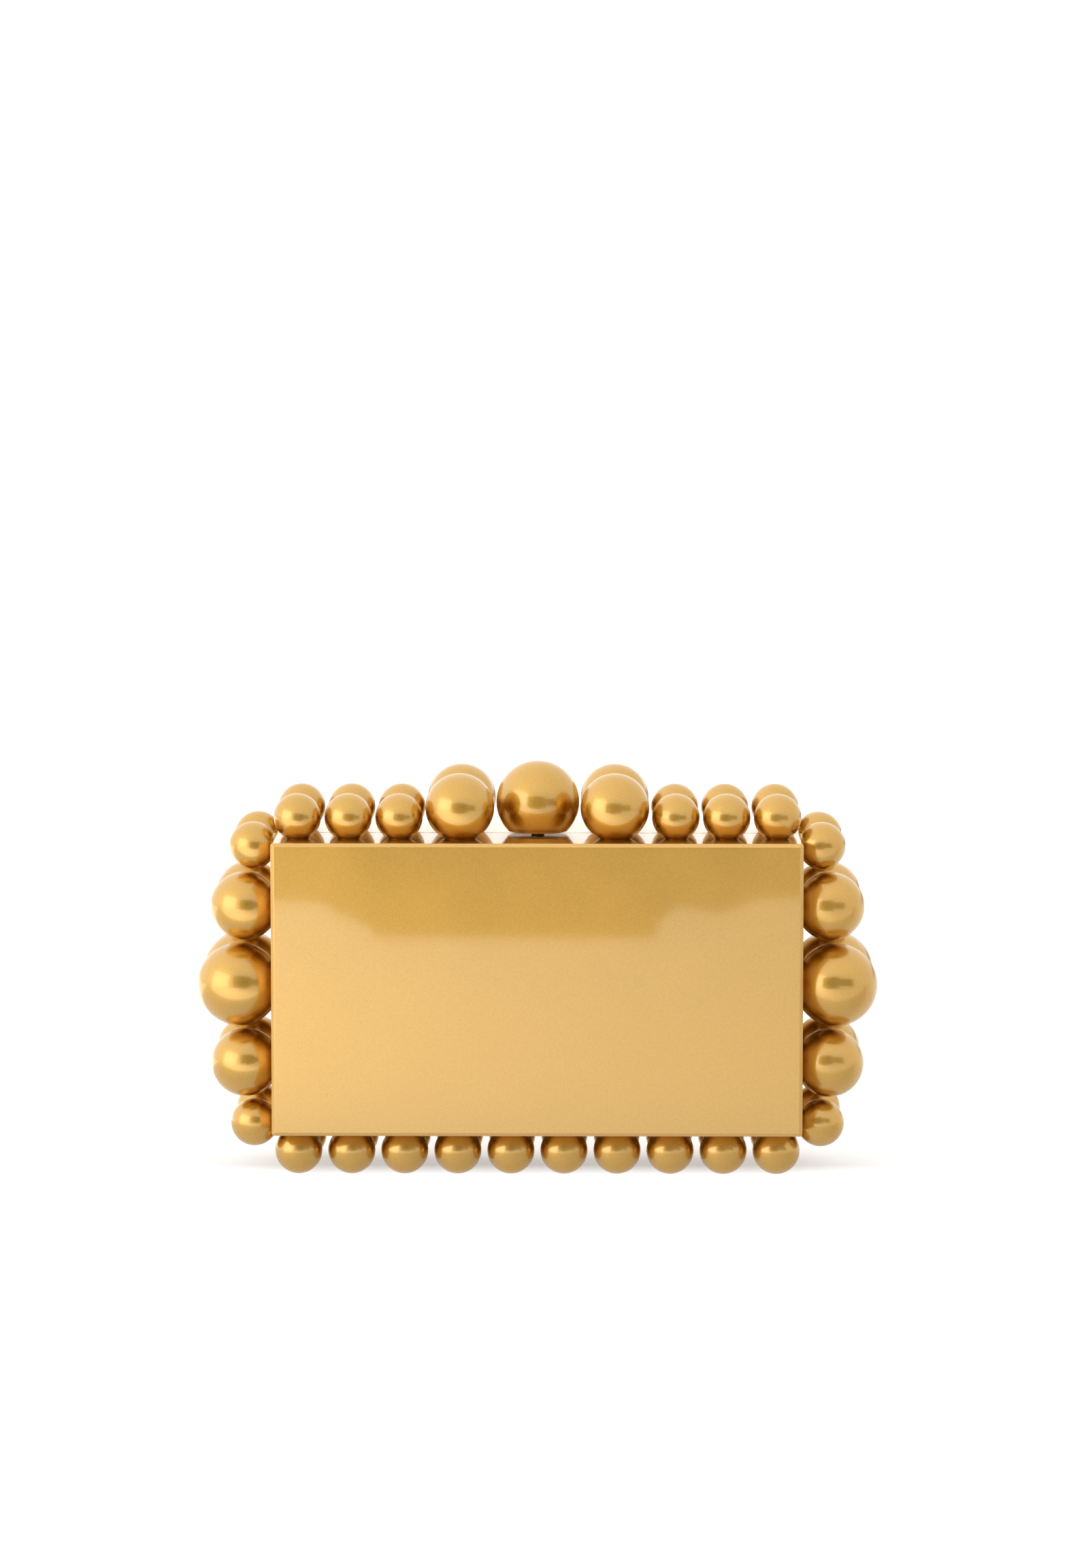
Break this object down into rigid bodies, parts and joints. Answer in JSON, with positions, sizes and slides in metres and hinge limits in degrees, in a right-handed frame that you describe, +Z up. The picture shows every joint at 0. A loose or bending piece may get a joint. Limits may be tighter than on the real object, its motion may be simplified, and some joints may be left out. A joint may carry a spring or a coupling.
{
  "type": "evening bag",
  "caption": "Rigid box clutch in two halves hinged along the bottom, edged with rows of round beads, with a ball push clasp on top and a ring at each end for a strap.",
  "frame": {"origin": "middle of the footprint, at the height on which the lowest beads stand", "axes": "+X to the right across the bag, -Y out of the front panel, +Z up"},
  "size_m": [0.2084, 0.056, 0.1262],
  "materials": {
    "case_lacquer": "acrylic sheet in a fine-grained metallic gold lacquer under a glossy clear coat",
    "bead_lacquer": "acrylic beads in a satin metallic gold lacquer, a little deeper than the case",
    "brass": "polished brass with light brushing",
    "steel": "plain steel pins, screws, stem and spring"
  },
  "bodies": {
    "back_half": {"back_panel": "case_lacquer", "back_top_wall": "case_lacquer", "back_bottom_wall": "case_lacquer", "back_left_wall": "case_lacquer", "back_right_wall": "case_lacquer", "back_bottom_beads": "bead_lacquer", "back_bead_pins": "steel", "back_left_top_small_beads": "bead_lacquer", "back_left_top_medium_bead": "bead_lacquer", "back_left_top_corner_bead": "bead_lacquer", "back_left_upper_bead": "bead_lacquer", "back_left_middle_bead": "bead_lacquer", "back_left_lower_bead": "bead_lacquer", "back_left_bottom_corner_bead": "bead_lacquer", "back_right_top_small_beads": "bead_lacquer", "back_right_top_medium_bead": "bead_lacquer", "back_right_top_corner_bead": "bead_lacquer", "back_right_upper_bead": "bead_lacquer", "back_right_middle_bead": "bead_lacquer", "back_right_lower_bead": "bead_lacquer", "back_right_bottom_corner_bead": "bead_lacquer", "hinge_back_leaf": "brass", "hinge_pin": "steel", "hinge_back_screws": "steel", "clasp_housing": "brass", "clasp_housing_screws": "steel", "clasp_spring": "steel", "left_strap_lug": "brass", "right_strap_lug": "brass"},
    "front_half": {"front_panel": "case_lacquer", "front_top_wall": "case_lacquer", "front_bottom_wall": "case_lacquer", "front_left_wall": "case_lacquer", "front_right_wall": "case_lacquer", "front_bottom_beads": "bead_lacquer", "front_bead_pins": "steel", "front_left_top_small_beads": "bead_lacquer", "front_left_top_medium_bead": "bead_lacquer", "front_left_top_corner_bead": "bead_lacquer", "front_left_upper_bead": "bead_lacquer", "front_left_middle_bead": "bead_lacquer", "front_left_lower_bead": "bead_lacquer", "front_left_bottom_corner_bead": "bead_lacquer", "front_right_top_small_beads": "bead_lacquer", "front_right_top_medium_bead": "bead_lacquer", "front_right_top_corner_bead": "bead_lacquer", "front_right_upper_bead": "bead_lacquer", "front_right_middle_bead": "bead_lacquer", "front_right_lower_bead": "bead_lacquer", "front_right_bottom_corner_bead": "bead_lacquer", "hinge_front_leaf": "brass", "hinge_front_screws": "steel", "clasp_keeper": "brass", "clasp_keeper_screws": "steel"},
    "clasp": {"clasp_ball": "bead_lacquer", "clasp_stem": "steel", "clasp_catch": "brass"},
    "left_ring": {"left_strap_ring": "brass"},
    "right_ring": {"right_strap_ring": "brass"}
  },
  "joints": [
    {"name": "lid_hinge", "type": "hinge", "parent": "back_half", "child": "front_half", "pos_m": [0, 0, 0.01148], "axis": [1, 0, 0], "range_deg": [0, 85]},
    {"name": "clasp_press", "type": "slide", "parent": "back_half", "child": "clasp", "axis": [0, 0, -1], "range_m": [0, 0.0007], "stiffness_N_per_m": 800, "springref_m": -0.0025, "deforming": ["clasp_spring"]},
    {"name": "left_ring_swing", "type": "hinge", "parent": "back_half", "child": "left_ring", "pos_m": [-0.0832, 0.0032, 0.10118], "axis": [0, 1, 0], "range_deg": [0, 150]},
    {"name": "right_ring_swing", "type": "hinge", "parent": "back_half", "child": "right_ring", "pos_m": [0.0832, 0.0032, 0.10118], "axis": [0, -1, 0], "range_deg": [0, 150]}
  ]
}
